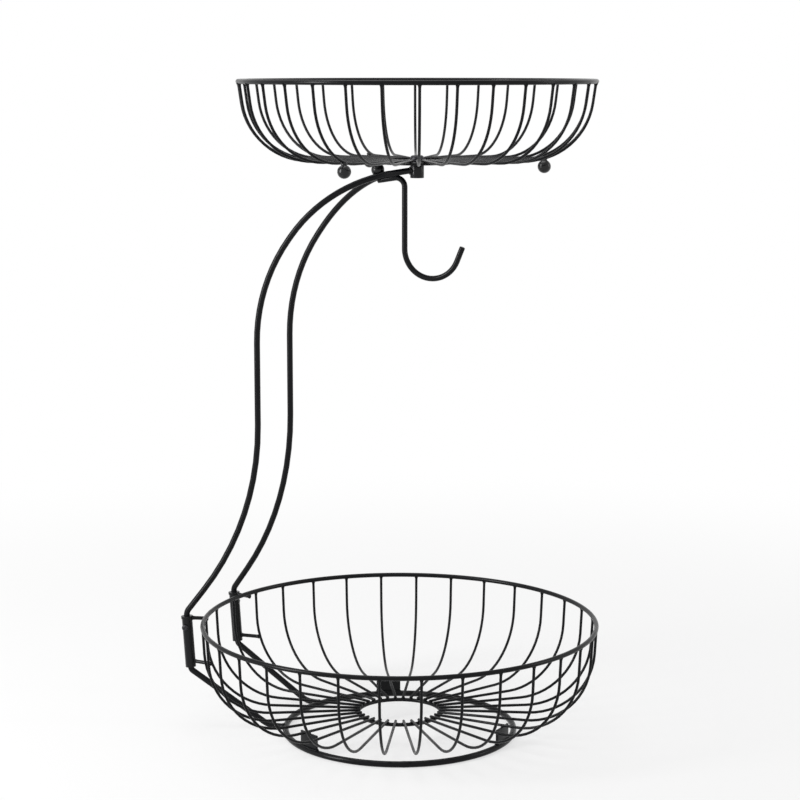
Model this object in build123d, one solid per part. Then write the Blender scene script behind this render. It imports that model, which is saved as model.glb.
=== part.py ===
from build123d import *
import math
import os

os.makedirs("parts", exist_ok=True)

# Two-tier countertop basket of coated steel wire, with a hanging hook between the tiers.
# Origin: centre of the base ring on the table. +Z is up, +Y is the side where the posts stand,
# and the plane X = 0 is the mirror plane of the stand. All sizes are in millimetres.

# Wire stock
base_wire = 4.8
post_wire = 4.8
hook_wire = 4.4
rim_wire = 3.6
link_wire = 3.0
rib_wire = 2.2
rib_count = 32

# Round stock is drawn with flats, and its bends and rings with short straight runs
thick_wire_sides = 8
thin_wire_sides = 6
turned_sides = 16
disc_sides = 24
knee_run_count = 5
base_ring_run_count = 52
rim_run_count = 64
post_bend_step = 6.5
short_bend_step = 10.0
ball_row_count = 3
full_turn = 360.0
half_turn = 180.0
quarter_turn = 90.0
overrun = 3.0
bend_room = 0.99

# Base ring and its spacers
base_ring_radius = 90.8
spacer_width = 20.0
spacer_plate = 1.8
spacer_ribs = {"spacer_front": 23, "spacer_right": 2, "spacer_left": 13}

# Lower basket
lower_rim_radius = 155.3
lower_rim_height = 88.8
lower_depth = 71.4
lower_wall_lean = 3.0
lower_knee_radius = 52.0
lower_eye_radius = 33.0
eye_wire = 3.0

# Sockets that carry the posts
socket_diameter = 8.4
socket_length = 42.0
socket_drop = 1.4
socket_gap = 11.4
socket_half_spacing = 42.0
socket_lean = 4.0
socket_lip = 0.5
socket_lip_length = 2.2
post_stop = 12.0
screw_drop = 9.0
screw_thread = 3.0
screw_head = 5.4
screw_head_height = 1.8
link_bite = 0.3
lower_link_rise = 5.0
lower_link_rib_number = 6

# Legs from the sockets to the base ring
leg_bend_drop = 2.2
leg_bend_radius = 4.0
leg_landing = 14.0
leg_landing_radius = 20.0
leg_ring_angle = 22.0

# Posts
post_bend_rise = 3.1
post_bend_radius = 8.0
post_lean_in = 59.4
post_half_spacing = 30.0
post_lean_rise = 81.6
post_lean_radius = 220.0
swan_neck_drop = 95.2
swan_neck_radius = 138.0
shoulder_half_spacing = 24.0
shoulder_reach = 69.8
shoulder_drop = 22.6
shoulder_radius = 110.0
pair_length = 22.5
pair_bend_radius = 20.0
pair_slope = 9.0

# Collar on top of the posts
collar_diameter = 10.6
collar_height = 10.7
collar_forward = 14.5
collar_top_height = 450.0
arm_end_drop = 4.4

# Ball between the arms, under the floor of the upper basket
rest_ball = 10.2
rest_behind_collar = 33.5
rest_bite = 0.3

# Hanging hook
hook_leg_length = 22.0
hook_shank_behind_collar = 10.2
hook_bend_radius = 7.0
hook_mouth_height = 385.0
hook_curl_radius = 22.3
hook_curl_turn = 157.5
hook_tip_length = 12.0
hook_bite = 0.3

# Upper basket, its centre plate, bolt and ball feet
upper_rim_radius = 135.5
upper_depth = 59.2
upper_wall_lean = 8.0
upper_knee_radius = 50.0
plate_diameter = 58.0
plate_thickness = 2.0
plate_land = 9.0
bolt_thread = 6.0
bolt_head = 11.0
bolt_head_height = 3.6
bolt_head_edge = 1.4
bolt_engagement = 8.0
thread_clearance = 0.08
plate_hole = 6.6
washer_diameter = 15.0
washer_thickness = 1.2
foot_ball = 10.2
foot_neck = 4.4
foot_past_knee = 13.0
foot_drop = 4.0
foot_ribs = {"foot_back": 4, "foot_left": 15, "foot_front": 26}


def polar(radius, angle, height):
    """A point on a circle about Z."""
    turn = math.radians(angle)
    return Vector(radius * math.cos(turn), radius * math.sin(turn), height)


def facets(diameter, sides):
    """Section of round stock, measured across its flats, with a flat above and one below."""
    spin = half_turn / sides if sides % 4 == 0 else 0
    return RegularPolygon(diameter / 2, sides, major_radius=False, rotation=spin)


def bar(diameter, sides, bottom, top):
    """Upright bar of round stock about Z."""
    return extrude(Plane.XY.offset(bottom) * facets(diameter, sides), top - bottom)


def ring(radius, height, wire, sides, run_count):
    """Closed ring of wire about Z."""
    corners = [polar(radius, k * full_turn / run_count, height) for k in range(run_count)]
    start = (corners[0] + corners[-1]) / 2
    path = Polyline(start, *corners, start)
    across = Plane(origin=start, x_dir=(start.X, start.Y, 0), z_dir=path % 0)
    return sweep(across * facets(wire, sides), path=path, transition=Transition.RIGHT)


def fitted(radii, corners):
    """Bend radii for a wire's corners, all taken down alike where a run is too short for its bends."""
    points = [Vector(corner) for corner in corners]
    runs = [end - start for start, end in zip(points, points[1:])]
    tangents = [0]
    for radius, run, next_run in zip(radii, runs, runs[1:]):
        tangents.append(radius * math.tan(math.radians(run.get_angle(next_run) / 2)))
    tangents.append(0)
    share = 1
    for run, tangent, next_tangent in zip(runs, tangents, tangents[1:]):
        share = min(share, bend_room * run.length / (tangent + next_tangent))
    return [share * radius for radius in radii]


def bent_wire(path, wire, sides, bend_step):
    """Wire bent along a path of runs and arcs, with a straight run for each step of a bend."""
    corners = [path @ 0]
    walked = 0
    for edge in path.order_edges():
        turn = math.degrees(edge.length / edge.radius) if edge.geom_type == GeomType.CIRCLE else 0
        steps = max(1, math.ceil(turn / bend_step))
        corners += [path @ ((walked + edge.length * step / steps) / path.length) for step in range(1, steps + 1)]
        walked += edge.length
    route = Polyline(*corners)
    across = Plane(origin=route @ 0, z_dir=route % 0)
    return sweep(across * facets(wire, sides), path=route, transition=Transition.RIGHT)


def straight_wire(start, end, wire):
    """Straight wire from one point to another."""
    across = Plane(origin=start, z_dir=end - start)
    return extrude(across * facets(wire, thin_wire_sides), (end - start).length)


def ball(diameter, sides, row_count):
    """Ball with flats: tapering slices from its middle up, and their mirror image below."""
    half = []
    row_turn = math.radians(half_turn / (2 * row_count + 1))
    for row in range(row_count):
        low = diameter / 2 * math.cos(row * row_turn)
        high = diameter / 2 * math.cos((row + 1) * row_turn)
        bottom = diameter / 2 * math.sin(row * row_turn)
        rise = diameter / 2 * math.sin((row + 1) * row_turn) - bottom
        slope = math.degrees(math.atan2(low - high, rise))
        half.append(extrude(Plane.XY.offset(bottom) * facets(2 * low, sides), rise, taper=slope))
    upper = half[0].fuse(*half[1:])
    return upper + mirror(upper, about=Plane.XY)


def knee_centre(rim_radius, depth, lean, knee_radius):
    """Distance of the knee's centre from the axis of a basket."""
    wall_foot = rim_radius - depth * math.tan(math.radians(lean))
    return wall_foot - knee_radius * math.tan(math.radians((quarter_turn - lean) / 2))


def rib(rim_radius, seat_height, floor_height, lean, knee_radius, inner_radius):
    """One wire of a basket: down a leaning wall, round a knee and in along the floor, at angle 0."""
    slope = math.tan(math.radians(lean))
    centre = knee_centre(rim_radius, seat_height - floor_height, lean, knee_radius)
    outline = [(rim_radius + overrun * slope, 0, seat_height + overrun)]
    for step in range(knee_run_count + 1):
        angle = math.radians(-lean - (quarter_turn - lean) * step / knee_run_count)
        reach = centre + knee_radius * math.cos(angle)
        outline.append((reach, 0, floor_height + knee_radius + knee_radius * math.sin(angle)))
    outline.append((inner_radius, 0, floor_height))
    path = Polyline(*outline)
    across = Plane(origin=path @ 0, x_dir=(0, 1, 0), z_dir=path % 0)
    long_rib = sweep(across * facets(rib_wire, thin_wire_sides), path=path, transition=Transition.RIGHT)
    return split(long_rib, Plane.XY.offset(seat_height), keep=Keep.BOTTOM)


def circle_of(piece, count, first_angle, centre):
    """Copies of a piece round a vertical axis."""
    return [Pos(centre) * Rot(0, 0, first_angle + k * full_turn / count) * piece for k in range(count)]


def mirrored(piece):
    return mirror(piece, about=Plane.YZ)


nodes = {}

# Base ring, laid flat on the table
base_height = base_wire / 2
nodes["base_ring"] = ring(base_ring_radius, base_height, base_wire, thick_wire_sides, base_ring_run_count)

# Lower basket: rim, ribs, eye ring in the middle of the floor
lower_floor_height = lower_rim_height - lower_depth
rim_underside = lower_rim_height - rim_wire / 2
first_lower_rib = full_turn / rib_count / 2
nodes["lower_rim"] = ring(lower_rim_radius, lower_rim_height, rim_wire, thin_wire_sides, rim_run_count)
lower_rib = rib(
    lower_rim_radius,
    rim_underside,
    lower_floor_height,
    lower_wall_lean,
    lower_knee_radius,
    lower_eye_radius - eye_wire / 2,
)
lower_ribs = circle_of(lower_rib, rib_count, first_lower_rib, (0, 0, 0))
nodes["lower_ribs"] = Compound(children=lower_ribs)
rib_underside = lower_floor_height - rib_wire / 2
eye_height = rib_underside - eye_wire / 2
nodes["lower_eye_ring"] = ring(lower_eye_radius, eye_height, eye_wire, thin_wire_sides, rib_count)

# Spacers: short curved plates that stand on the base ring and carry the ribs of the floor
spacer_height = rib_underside - base_wire
spacer_turn = math.degrees(spacer_width / base_ring_radius)
rib_turn = full_turn / rib_count
plate = Pos(base_ring_radius, base_wire + spacer_height / 2, 0) * Rectangle(spacer_plate, spacer_height)
spacer = Rot(0, 0, -spacer_turn / 2) * revolve(Plane.XZ * plate, Axis.Z, spacer_turn)
for name, number in spacer_ribs.items():
    nodes[name] = Rot(0, 0, first_lower_rib + number * rib_turn) * spacer

# Sockets beside the lower rim, leaning out as they rise
socket_radius = lower_rim_radius + rim_wire / 2 + socket_gap + socket_diameter / 2
socket_back = math.sqrt(socket_radius**2 - socket_half_spacing**2)
socket_top = lower_rim_height - socket_drop
socket_bottom = socket_top - socket_length
socket_tube = bar(socket_diameter, turned_sides, socket_bottom, socket_top)
lip = bar(socket_diameter + 2 * socket_lip, turned_sides, socket_top - socket_lip_length, socket_top)
bore = bar(base_wire, thick_wire_sides, socket_bottom - overrun, socket_top + overrun)
screw_height = socket_top - screw_drop
sideways = Pos(0, 0, screw_height) * Rot(0, quarter_turn, 0)
screw_shank = sideways * bar(screw_thread, thick_wire_sides, post_wire / 2, socket_diameter / 2)
tilt = Rot(-socket_lean, 0, 0) * Pos(0, 0, -socket_top)
right_socket_place = Pos(socket_half_spacing, socket_back, socket_top) * tilt
nodes["socket_right"] = right_socket_place * (socket_tube + lip - bore - screw_shank)
nodes["socket_left"] = mirrored(nodes["socket_right"])


def in_right_socket(level):
    """A point on the axis of the right socket, at a level measured along it."""
    return (right_socket_place * Pos(0, 0, level)).position


# Set screws, turned in from the outer sides until they press on the posts
head_end = socket_diameter / 2 + screw_head_height
screw_cap = sideways * bar(screw_head, turned_sides, socket_diameter / 2, head_end)
nodes["set_screw_right"] = right_socket_place * (screw_shank + screw_cap)
nodes["set_screw_left"] = mirrored(nodes["set_screw_right"])

# Legs: from inside the sockets down and forward under the basket to the base ring
leg_end = polar(base_ring_radius, quarter_turn - leg_ring_angle, base_height)
leg_top = socket_bottom + post_stop
leg_start = in_right_socket(leg_top)
leg_bend = in_right_socket(socket_bottom - leg_bend_drop)
leg_way = Vector(leg_end.X - leg_bend.X, leg_end.Y - leg_bend.Y, 0).normalized()
lower_knee_centre = knee_centre(
    lower_rim_radius, rim_underside - lower_floor_height, lower_wall_lean, lower_knee_radius
)
leg_flat_run = max(leg_landing, lower_knee_centre - base_ring_radius)
leg_corners = [leg_start, leg_bend, leg_end - leg_way * leg_flat_run, leg_end]
leg_path = FilletPolyline(*leg_corners, radius=fitted([leg_bend_radius, leg_landing_radius], leg_corners))
leg = bent_wire(leg_path, base_wire, thick_wire_sides, short_bend_step)
nodes["leg_right"] = split(leg - nodes["base_ring"], Plane.XY, keep=Keep.TOP)
nodes["leg_left"] = mirrored(nodes["leg_right"])

# Upper links from the sockets to the underside of the rim, lower links to the nearest ribs
socket_body = right_socket_place * (bar(socket_diameter, turned_sides, socket_bottom, socket_top) + lip)
rim_foot = polar(lower_rim_radius, math.degrees(math.atan2(socket_back, socket_half_spacing)), 0)
link_level = rim_underside - link_wire / 2 + link_bite
link_start = Vector(socket_half_spacing, socket_back, link_level)
upper_link = straight_wire(link_start, rim_foot + Vector(0, 0, link_level), link_wire)
nodes["upper_link_right"] = upper_link - socket_body - nodes["lower_rim"] - lower_ribs
nodes["upper_link_left"] = mirrored(nodes["upper_link_right"])
linked_rib = lower_ribs[lower_link_rib_number]
lower_link_height = socket_bottom + lower_link_rise
knee_drop = lower_floor_height + lower_knee_radius - lower_link_height
rib_reach = lower_knee_centre + math.sqrt(lower_knee_radius**2 - knee_drop**2)
rib_foot = polar(rib_reach, first_lower_rib + lower_link_rib_number * rib_turn, lower_link_height)
lower_link = straight_wire(in_right_socket(lower_link_height), rib_foot, link_wire)
nodes["lower_link_right"] = lower_link - socket_body - linked_rib
nodes["lower_link_left"] = mirrored(nodes["lower_link_right"])

# Posts: up from the sockets, leaning in, then over in a swan neck to the collar, where the two lie
# side by side
collar_axis = Vector(0, -collar_forward, 0)
post_back = socket_back - post_lean_in
arm_end_height = collar_top_height - arm_end_drop
arm_rise = math.tan(math.radians(pair_slope))
pair_back = pair_length - collar_forward + collar_diameter / 2
pair_drop = (pair_back + collar_forward) * arm_rise
post_corners = [
    leg_start,
    in_right_socket(socket_top + post_bend_rise),
    (post_half_spacing, post_back, socket_top + post_lean_rise),
    (post_half_spacing, post_back, collar_top_height - swan_neck_drop),
    (shoulder_half_spacing, shoulder_reach - collar_forward, collar_top_height - shoulder_drop),
    (post_wire / 2, pair_back, arm_end_height - pair_drop),
    (post_wire / 2, -collar_forward, arm_end_height),
]
post_radii = [post_bend_radius, post_lean_radius, swan_neck_radius, shoulder_radius, pair_bend_radius]
post_path = FilletPolyline(*post_corners, radius=fitted(post_radii, post_corners))
collar_middle = collar_top_height - collar_height / 2
collar_body = Pos(0, -collar_forward, collar_middle) * Cylinder(collar_diameter / 2, 2 * collar_height)
post = bent_wire(post_path, post_wire, thick_wire_sides, post_bend_step) - collar_body
nodes["post_right"] = split(post, Plane.YZ, keep=Keep.TOP)
nodes["post_left"] = mirrored(nodes["post_right"])

# Ball that lies in the fork of the two arms, close under the floor of the upper basket
rest_spot = post_path.position_at(post_path.length - rest_behind_collar, PositionMode.LENGTH)
rest_reach = (rest_ball + post_wire) / 2 - rest_bite
rest_rise = math.sqrt(rest_reach**2 - rest_spot.X**2)
rest = Pos(0, rest_spot.Y, rest_spot.Z + rest_rise) * ball(rest_ball, turned_sides, ball_row_count)
nodes["rest_ball"] = rest - nodes["post_right"] - nodes["post_left"]

# Collar: a turned sleeve with a threaded bore for the bolt of the upper basket
collar_bore = bolt_thread / 2 + thread_clearance
collar = Pos(0, -collar_forward, collar_middle) * (
    Cylinder(collar_diameter / 2, collar_height) - Cylinder(collar_bore, 2 * collar_height)
)
nodes["collar"] = collar

# Hook: its upper leg lies in the groove under the two arms, then it drops to the curl
nest = math.sqrt(((post_wire + hook_wire) / 2) ** 2 - (post_wire / 2) ** 2)
shank_back = hook_shank_behind_collar - collar_forward
leg_slope = math.radians(pair_slope)
arm_height_at_shank = arm_end_height - hook_shank_behind_collar * arm_rise
leg_height_at_shank = arm_height_at_shank - (nest - hook_bite) / math.cos(leg_slope)
hook_corner = Vector(0, shank_back, leg_height_at_shank)
hook_leg_end = hook_corner + Vector(0, math.cos(leg_slope), -math.sin(leg_slope)) * hook_leg_length
curl_centre = (shank_back - hook_curl_radius, hook_mouth_height)
hook_corners = [hook_leg_end, hook_corner, (0, shank_back, hook_mouth_height)]
upper_hook = FilletPolyline(*hook_corners, radius=fitted([hook_bend_radius], hook_corners))
curl = Plane.YZ * CenterArc(curl_centre, hook_curl_radius, 0, -hook_curl_turn)
tip = Line(curl @ 1, (curl @ 1) + (curl % 1) * hook_tip_length)
hook_path = Wire(upper_hook.edges() + curl.edges() + tip.edges())
hook = bent_wire(hook_path, hook_wire, thick_wire_sides, short_bend_step)
nodes["hanging_hook"] = hook - nodes["post_right"] - nodes["post_left"]

# Upper basket: ribs welded on a round plate that sits on the collar
upper_floor_height = collar_top_height + plate_thickness + rib_wire / 2
upper_rim_height = upper_floor_height + upper_depth
upper_rim = ring(upper_rim_radius, upper_rim_height, rim_wire, thin_wire_sides, rim_run_count)
nodes["upper_rim"] = Pos(collar_axis) * upper_rim
upper_rib = rib(
    upper_rim_radius,
    upper_rim_height - rim_wire / 2,
    upper_floor_height,
    upper_wall_lean,
    upper_knee_radius,
    plate_diameter / 2 - plate_land,
)
nodes["upper_ribs"] = Compound(children=circle_of(upper_rib, rib_count, 0, collar_axis))
plate_top = collar_top_height + plate_thickness
hole = bar(plate_hole, turned_sides, collar_top_height - overrun, plate_top + overrun)
plate = bar(plate_diameter, disc_sides, collar_top_height, plate_top)
nodes["centre_plate"] = Pos(collar_axis) * (plate - hole)

# Ball feet on necks under three ribs
foot_height = plate_top - foot_drop
upper_knee_centre = knee_centre(
    upper_rim_radius,
    upper_rim_height - rim_wire / 2 - upper_floor_height,
    upper_wall_lean,
    upper_knee_radius,
)
foot_circle_radius = upper_knee_centre + foot_past_knee
knee_rise = upper_knee_radius - math.sqrt(upper_knee_radius**2 - foot_past_knee**2)
neck_length = upper_floor_height + knee_rise - foot_height
foot = ball(foot_ball, turned_sides, ball_row_count) + bar(foot_neck, thick_wire_sides, 0, neck_length)
foot_at_axis = Pos(foot_circle_radius, 0, foot_height) * foot - upper_rib
for name, number in foot_ribs.items():
    nodes[name] = Pos(collar_axis) * Rot(0, 0, number * rib_turn) * foot_at_axis

# Bolt and washer inside the upper basket
bolt_seat = plate_top + washer_thickness
washer = bar(washer_diameter, disc_sides, plate_top, bolt_seat) - hole
nodes["washer"] = Pos(collar_axis) * washer
bolt_length = bolt_seat - collar_top_height + bolt_engagement
cap = chamfer((Cylinder(bolt_head / 2, bolt_head_height)).edges().group_by(Axis.Z)[-1], bolt_head_edge)
screw = Pos(0, 0, bolt_seat + bolt_head_height / 2) * cap
screw += Pos(0, 0, bolt_seat - bolt_length / 2) * Cylinder(bolt_thread / 2, bolt_length)
nodes["centre_bolt"] = Pos(collar_axis) * screw

for name, piece in nodes.items():
    export_step(piece, f"parts/{name}.step")
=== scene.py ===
import math

import bmesh
import bpy
from mathutils import Matrix, Vector


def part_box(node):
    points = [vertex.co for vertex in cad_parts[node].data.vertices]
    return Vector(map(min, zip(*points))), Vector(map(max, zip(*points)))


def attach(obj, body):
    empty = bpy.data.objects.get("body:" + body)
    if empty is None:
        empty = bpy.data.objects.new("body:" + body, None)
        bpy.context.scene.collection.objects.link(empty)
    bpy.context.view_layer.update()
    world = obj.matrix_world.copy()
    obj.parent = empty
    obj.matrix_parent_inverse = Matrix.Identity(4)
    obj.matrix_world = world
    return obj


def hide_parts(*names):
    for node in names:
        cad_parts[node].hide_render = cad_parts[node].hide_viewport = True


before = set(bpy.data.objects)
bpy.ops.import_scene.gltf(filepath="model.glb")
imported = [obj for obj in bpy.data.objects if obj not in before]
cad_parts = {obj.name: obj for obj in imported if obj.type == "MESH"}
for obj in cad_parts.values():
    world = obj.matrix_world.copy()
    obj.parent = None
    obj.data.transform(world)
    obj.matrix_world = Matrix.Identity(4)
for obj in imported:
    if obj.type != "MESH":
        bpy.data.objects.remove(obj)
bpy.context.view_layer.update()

# Studio. The stand is seen from the left of its front, a little above its upper rim, against a
# plain white sweep, lit by a large soft box on the left, a smaller one on the right and one above.
eye = Vector((-1.4899, -0.6094, 0.5245))
eye_heading = math.radians(-67.768)
eye_tilt = math.radians(9.095)
camera = bpy.data.cameras.new("camera")
camera.lens = 94.2
camera.sensor_width = 36.0
camera.clip_start = 0.05
camera.clip_end = 200.0
camera_object = bpy.data.objects.new("camera", camera)
camera_object.location = eye
camera_object.rotation_euler = (math.pi / 2 - eye_tilt, 0.0, eye_heading)
bpy.context.scene.collection.objects.link(camera_object)
bpy.context.scene.camera = camera_object
bpy.context.scene.view_settings.view_transform = "Standard"

world = bpy.data.worlds.new("white_room")
bpy.context.scene.world = world
world.use_nodes = True
world_nodes = world.node_tree.nodes
world_links = world.node_tree.links


def seen_directly(nodes, links):
    """The socket that is 1 where something is looked at, straight or in a glossy or clear surface."""
    light_path = nodes.new("ShaderNodeLightPath")
    in_surface = nodes.new("ShaderNodeMath")
    in_surface.operation = "MAXIMUM"
    seen = nodes.new("ShaderNodeMath")
    seen.operation = "MAXIMUM"
    links.new(light_path.outputs["Is Glossy Ray"], in_surface.inputs[0])
    links.new(light_path.outputs["Is Transmission Ray"], in_surface.inputs[1])
    links.new(light_path.outputs["Is Camera Ray"], seen.inputs[0])
    links.new(in_surface.outputs[0], seen.inputs[1])
    return seen.outputs[0]


world_strength = world_nodes.new("ShaderNodeMapRange")
world_strength.inputs["To Min"].default_value = 0.45
world_strength.inputs["To Max"].default_value = 1.0
world_links.new(seen_directly(world_nodes, world_links), world_strength.inputs["Value"])
world_nodes["Background"].inputs["Color"].default_value = (1.0, 1.0, 1.0, 1.0)
world_links.new(world_strength.outputs["Result"], world_nodes["Background"].inputs["Strength"])

stand_middle = Vector((0.0, 0.0, 0.26))


def soft_box(name, place, width, height, watts):
    """A rectangular lamp that faces the middle of the stand."""
    lamp = bpy.data.lights.new(name, "AREA")
    lamp.shape = "RECTANGLE"
    lamp.size = width
    lamp.size_y = height
    lamp.energy = watts
    lamp_object = bpy.data.objects.new(name, lamp)
    lamp_object.location = place
    lamp_object.rotation_euler = (stand_middle - Vector(place)).to_track_quat("-Z", "Y").to_euler()
    bpy.context.scene.collection.objects.link(lamp_object)


soft_box("left_box", place=(-1.2, 1.1, 0.75), width=0.38, height=1.2, watts=23.0)
soft_box("right_box", place=(0.6, -1.7, 0.8), width=0.3, height=1.0, watts=4.0)
soft_box("top_box", place=(0.1, 0.3, 1.9), width=1.2, height=1.2, watts=9.0)

# The floor shows white far off. Near the stand part of what shows is paint, which takes the shadow.
floor_reach = 80.0
sweep_start = 0.25
sweep_end = 1.1
white_near_stand = 0.6
floor_mesh = bmesh.new()
bmesh.ops.create_circle(floor_mesh, cap_ends=True, segments=64, radius=floor_reach)
floor_data = bpy.data.meshes.new("floor")
floor_mesh.to_mesh(floor_data)
floor_mesh.free()
floor = bpy.data.objects.new("floor", floor_data)
bpy.context.scene.collection.objects.link(floor)
floor_paint = bpy.data.materials.new("floor_paint")
floor_paint.use_nodes = True
floor_nodes = floor_paint.node_tree.nodes
floor_links = floor_paint.node_tree.links
floor_surface = floor_nodes["Principled BSDF"]
floor_surface.inputs["Base Color"].default_value = (0.93, 0.93, 0.93, 1.0)
floor_surface.inputs["Roughness"].default_value = 0.9
floor_surface.inputs["Specular IOR Level"].default_value = 0.1
floor_place = floor_nodes.new("ShaderNodeTexCoord")
floor_distance = floor_nodes.new("ShaderNodeVectorMath")
floor_distance.operation = "LENGTH"
sweep_rise = floor_nodes.new("ShaderNodeMapRange")
sweep_rise.interpolation_type = "SMOOTHSTEP"
sweep_rise.inputs["From Min"].default_value = sweep_start
sweep_rise.inputs["From Max"].default_value = sweep_end
sweep_rise.inputs["To Min"].default_value = white_near_stand
sweep_rise.inputs["To Max"].default_value = 1.0
white_share = floor_nodes.new("ShaderNodeMath")
white_share.operation = "MULTIPLY"
white_light = floor_nodes.new("ShaderNodeEmission")
white_light.inputs["Color"].default_value = (1.0, 1.0, 1.0, 1.0)
floor_blend = floor_nodes.new("ShaderNodeMixShader")
floor_links.new(floor_place.outputs["Object"], floor_distance.inputs[0])
floor_links.new(floor_distance.outputs["Value"], sweep_rise.inputs["Value"])
floor_links.new(seen_directly(floor_nodes, floor_links), white_share.inputs[0])
floor_links.new(sweep_rise.outputs["Result"], white_share.inputs[1])
floor_links.new(white_share.outputs[0], floor_blend.inputs["Fac"])
floor_links.new(floor_surface.outputs["BSDF"], floor_blend.inputs[1])
floor_links.new(white_light.outputs["Emission"], floor_blend.inputs[2])
floor_links.new(floor_blend.outputs["Shader"], floor_nodes["Material Output"].inputs["Surface"])
floor_data.materials.append(floor_paint)

# Base ring. A round steel wire bent to a circle and butt welded, with the thick black coat that
# the whole stand has: dipped after welding, glossy enough for soft highlights, faintly uneven.
wire_facets = 24
turn_steps = 192
crease_angle = math.radians(40.0)
end_rounding = 0.12
seam_reach = 0.35
seam_swell = 0.07
black = (0.002, 0.0022, 0.0027)
worn_black = (0.006, 0.0063, 0.0075)


def black_coat(name, roughness, shine, grain, unevenness, colour=black, worn_colour=worn_black):
    """Black coating on steel: fine orange peel, patches of a different gloss, and a tone that varies."""
    material = bpy.data.materials.new(name)
    material.use_nodes = True
    nodes = material.node_tree.nodes
    links = material.node_tree.links
    surface = nodes["Principled BSDF"]
    place = nodes.new("ShaderNodeTexCoord")
    patches = nodes.new("ShaderNodeTexNoise")
    patches.inputs["Scale"].default_value = 38.0
    patches.inputs["Detail"].default_value = 3.0
    tone = nodes.new("ShaderNodeMix")
    tone.data_type = "RGBA"
    tone.inputs["A"].default_value = (*colour, 1.0)
    tone.inputs["B"].default_value = (*worn_colour, 1.0)
    gloss = nodes.new("ShaderNodeMapRange")
    gloss.inputs["From Min"].default_value = 0.3
    gloss.inputs["From Max"].default_value = 0.7
    gloss.inputs["To Min"].default_value = roughness - 0.06
    gloss.inputs["To Max"].default_value = roughness + 0.08
    peel = nodes.new("ShaderNodeTexNoise")
    peel.inputs["Scale"].default_value = grain
    peel.inputs["Detail"].default_value = 2.0
    bump = nodes.new("ShaderNodeBump")
    bump.inputs["Strength"].default_value = unevenness
    bump.inputs["Distance"].default_value = 0.0002
    links.new(place.outputs["Object"], patches.inputs["Vector"])
    links.new(place.outputs["Object"], peel.inputs["Vector"])
    links.new(patches.outputs["Fac"], tone.inputs["Factor"])
    links.new(patches.outputs["Fac"], gloss.inputs["Value"])
    links.new(tone.outputs["Result"], surface.inputs["Base Color"])
    links.new(gloss.outputs["Result"], surface.inputs["Roughness"])
    links.new(peel.outputs["Fac"], bump.inputs["Height"])
    links.new(bump.outputs["Normal"], surface.inputs["Normal"])
    surface.inputs["Specular IOR Level"].default_value = shine
    surface.inputs["Coat Weight"].default_value = 0.05
    surface.inputs["Coat Roughness"].default_value = 0.14
    return material


wire_coat = black_coat("wire_coat", roughness=0.26, shine=0.11, grain=900.0, unevenness=0.22)


def finished(shape, name, material, slot, body, *nodes):
    """The mesh as a piece of the stand: smooth, with its coat, riding on its body for those nodes."""
    bmesh.ops.recalc_face_normals(shape, faces=shape.faces)
    data = bpy.data.meshes.new(name)
    shape.to_mesh(data)
    shape.free()
    data.shade_smooth()
    data.set_sharp_from_angle(angle=crease_angle)
    data.materials.append(material)
    piece = bpy.data.objects.new(name, data)
    bpy.context.scene.collection.objects.link(piece)
    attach(piece, body)
    if nodes:
        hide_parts(*nodes)


def wire_end(shape, centre, along, wire, facets=wire_facets):
    """The open circle of a wire's section, square to the way that the wire goes."""
    turned = Vector(along).to_track_quat("Z", "Y").to_matrix().to_4x4()
    section = bmesh.ops.create_circle(
        shape, segments=facets, radius=wire / 2, matrix=Matrix.Translation(centre) @ turned
    )
    verts = section["verts"]
    return list({edge for vert in verts for edge in vert.link_edges})


def swell(shape, edges, share):
    """Widens or narrows the open circle at the end of a wire about its own middle."""
    verts = list({vert for edge in edges for vert in edge.verts})
    middle = sum((vert.co for vert in verts), Vector()) / len(verts)
    bmesh.ops.scale(shape, vec=(share, share, share), space=Matrix.Translation(-middle), verts=verts)


def run(shape, edges, step):
    """Draws a wire straight on from its open circle."""
    drawn = bmesh.ops.extrude_edge_only(shape, edges=edges)["geom"]
    verts = [part for part in drawn if isinstance(part, bmesh.types.BMVert)]
    bmesh.ops.translate(shape, vec=step, verts=verts)
    return [part for part in drawn if isinstance(part, bmesh.types.BMEdge)]


def bend(shape, edges, centre, axis, angle, steps):
    """Bends a wire on from its open circle, round an axis."""
    verts = list({vert for edge in edges for vert in edge.verts})
    turned = bmesh.ops.spin(
        shape, geom=verts + edges, cent=centre, axis=axis, angle=angle, steps=steps, use_merge=False
    )
    return [part for part in turned["geom_last"] if isinstance(part, bmesh.types.BMEdge)]


def cut_end(shape, edges, along, wire):
    """Closes a wire with the slightly rounded face of a cut and coated end."""
    rounding = Vector(along).normalized() * wire * end_rounding
    for length_share, width_share in ((0.6, 0.94), (0.4, 0.82)):
        edges = run(shape, edges, rounding * length_share)
        swell(shape, edges, width_share)
    bmesh.ops.holes_fill(shape, edges=edges, sides=0)


def hoop(shape, centre, radius, wire, facets=wire_facets, steps=turn_steps):
    """A closed ring of wire about an upright axis."""
    edges = wire_end(shape, Vector(centre) + Vector((radius, 0.0, 0.0)), (0.0, 1.0, 0.0), wire, facets)
    verts = list({vert for edge in edges for vert in edge.verts})
    bmesh.ops.spin(
        shape,
        geom=verts + edges,
        cent=centre,
        axis=(0.0, 0.0, 1.0),
        angle=2.0 * math.pi,
        steps=steps,
        use_merge=True,
    )


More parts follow.
